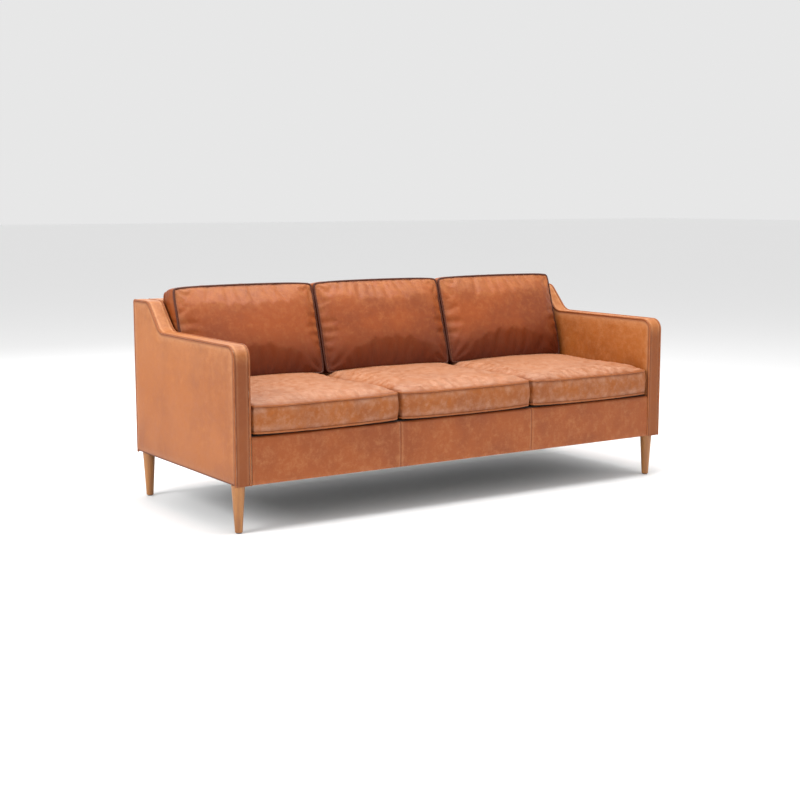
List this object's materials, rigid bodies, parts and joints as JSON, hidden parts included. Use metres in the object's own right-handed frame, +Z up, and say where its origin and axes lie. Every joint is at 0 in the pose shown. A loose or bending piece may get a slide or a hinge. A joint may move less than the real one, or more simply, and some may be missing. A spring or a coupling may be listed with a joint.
{
  "type": "sofa with wooden legs",
  "caption": "Leather sofa with loose seat and back cushions, slim welted arms that scoop up into the back, and round tapered wooden legs.",
  "frame": {"origin": "on the floor, at the centre of the sofa's overall length and depth", "axes": "+X along the length towards the right end as seen from the front, +Y from the front towards the back, +Z up"},
  "size_m": [2.057, 0.874, 0.85],
  "materials": {
    "body_leather": "aniline leather, satin",
    "seat_leather": "aniline leather, satin",
    "back_leather": "aniline leather, satin",
    "welt_leather": "leather-wrapped cord, satin",
    "leg_wood": "clear satin lacquer",
    "frame_wood": "sawn, unfinished",
    "plywood": "unfinished",
    "upholstery_foam": "open-cell foam",
    "seat_foam": "open-cell foam with wadding wrap",
    "fibre_filling": "fibre filling in a cotton case",
    "webbing": "woven elastic",
    "decking": "felt pad under woven cloth",
    "dust_cloth": "spun-bonded cloth",
    "spring_steel": "oiled spring wire",
    "plated_steel": "zinc plated",
    "zip_metal": "antique",
    "glide_plastic": "moulded nylon"
  },
  "bodies": {
    "frame": {"back_padding": "upholstery_foam", "back_rail": "frame_wood", "back_top_rail": "frame_wood", "back_top_welt": "welt_leather", "back_uprights": "plywood", "back_webbing": "webbing", "corner_blocks": "frame_wood", "dust_cover": "dust_cloth", "front_posts": "frame_wood", "front_rail": "frame_wood", "front_rail_cover": "body_leather", "front_rail_padding": "upholstery_foam", "hanger_bolts": "plated_steel", "inside_back_cover": "body_leather", "left_arm_boxing": "body_leather", "left_arm_inside_panel": "body_leather", "left_arm_outside_panel": "body_leather", "left_arm_padding": "upholstery_foam", "left_arm_rail": "frame_wood", "left_arm_welts": "welt_leather", "left_front_leg": "leg_wood", "left_rear_leg": "leg_wood", "left_side_rail": "frame_wood", "leg_glides": "glide_plastic", "outside_back_panel": "body_leather", "rear_posts": "frame_wood", "right_arm_boxing": "body_leather", "right_arm_inside_panel": "body_leather", "right_arm_outside_panel": "body_leather", "right_arm_padding": "upholstery_foam", "right_arm_rail": "frame_wood", "right_arm_welts": "welt_leather", "right_front_leg": "leg_wood", "right_rear_leg": "leg_wood", "right_side_rail": "frame_wood", "seat_deck": "decking", "seat_springs": "spring_steel", "seat_stretchers": "frame_wood", "spring_clips": "plated_steel", "spring_rail": "frame_wood", "spring_tie_wires": "spring_steel", "tee_nuts": "plated_steel"},
    "seat_cushion_left": {"seat_cushion_left_cover": "seat_leather", "seat_cushion_left_core": "seat_foam"},
    "seat_cushion_left_zip": {"seat_cushion_left_zip_slider": "zip_metal"},
    "seat_cushion_centre": {"seat_cushion_centre_cover": "seat_leather", "seat_cushion_centre_core": "seat_foam"},
    "seat_cushion_centre_zip": {"seat_cushion_centre_zip_slider": "zip_metal"},
    "seat_cushion_right": {"seat_cushion_right_cover": "seat_leather", "seat_cushion_right_core": "seat_foam"},
    "seat_cushion_right_zip": {"seat_cushion_right_zip_slider": "zip_metal"},
    "back_cushion_left": {"back_cushion_left_cover": "back_leather", "back_cushion_left_insert": "fibre_filling"},
    "back_cushion_left_zip": {"back_cushion_left_zip_slider": "zip_metal"},
    "back_cushion_centre": {"back_cushion_centre_cover": "back_leather", "back_cushion_centre_insert": "fibre_filling"},
    "back_cushion_centre_zip": {"back_cushion_centre_zip_slider": "zip_metal"},
    "back_cushion_right": {"back_cushion_right_cover": "back_leather", "back_cushion_right_insert": "fibre_filling"},
    "back_cushion_right_zip": {"back_cushion_right_zip_slider": "zip_metal"}
  },
  "joints": [
    {"name": "seat_cushion_left_slide", "type": "slide", "parent": "frame", "child": "seat_cushion_left", "axis": [0, -1, 0], "range_m": [0, 0.72]},
    {"name": "seat_cushion_left_zip_slide", "type": "slide", "parent": "seat_cushion_left", "child": "seat_cushion_left_zip", "axis": [-1, 0, 0], "range_m": [0, 0.45]},
    {"name": "seat_cushion_centre_slide", "type": "slide", "parent": "frame", "child": "seat_cushion_centre", "axis": [0, -1, 0], "range_m": [0, 0.72]},
    {"name": "seat_cushion_centre_zip_slide", "type": "slide", "parent": "seat_cushion_centre", "child": "seat_cushion_centre_zip", "axis": [-1, 0, 0], "range_m": [0, 0.45]},
    {"name": "seat_cushion_right_slide", "type": "slide", "parent": "frame", "child": "seat_cushion_right", "axis": [0, -1, 0], "range_m": [0, 0.72]},
    {"name": "seat_cushion_right_zip_slide", "type": "slide", "parent": "seat_cushion_right", "child": "seat_cushion_right_zip", "axis": [-1, 0, 0], "range_m": [0, 0.45]},
    {"name": "back_cushion_left_lift", "type": "slide", "parent": "frame", "child": "back_cushion_left", "axis": [0, 0.1115, 0.9938], "range_m": [0, 0.42]},
    {"name": "back_cushion_left_zip_slide", "type": "slide", "parent": "back_cushion_left", "child": "back_cushion_left_zip", "axis": [1, 0, 0], "range_m": [0, 0.45]},
    {"name": "back_cushion_centre_lift", "type": "slide", "parent": "frame", "child": "back_cushion_centre", "axis": [0, 0.1115, 0.9938], "range_m": [0, 0.42]},
    {"name": "back_cushion_centre_zip_slide", "type": "slide", "parent": "back_cushion_centre", "child": "back_cushion_centre_zip", "axis": [1, 0, 0], "range_m": [0, 0.45]},
    {"name": "back_cushion_right_lift", "type": "slide", "parent": "frame", "child": "back_cushion_right", "axis": [0, 0.1115, 0.9938], "range_m": [0, 0.42]},
    {"name": "back_cushion_right_zip_slide", "type": "slide", "parent": "back_cushion_right", "child": "back_cushion_right_zip", "axis": [1, 0, 0], "range_m": [0, 0.45]}
  ]
}
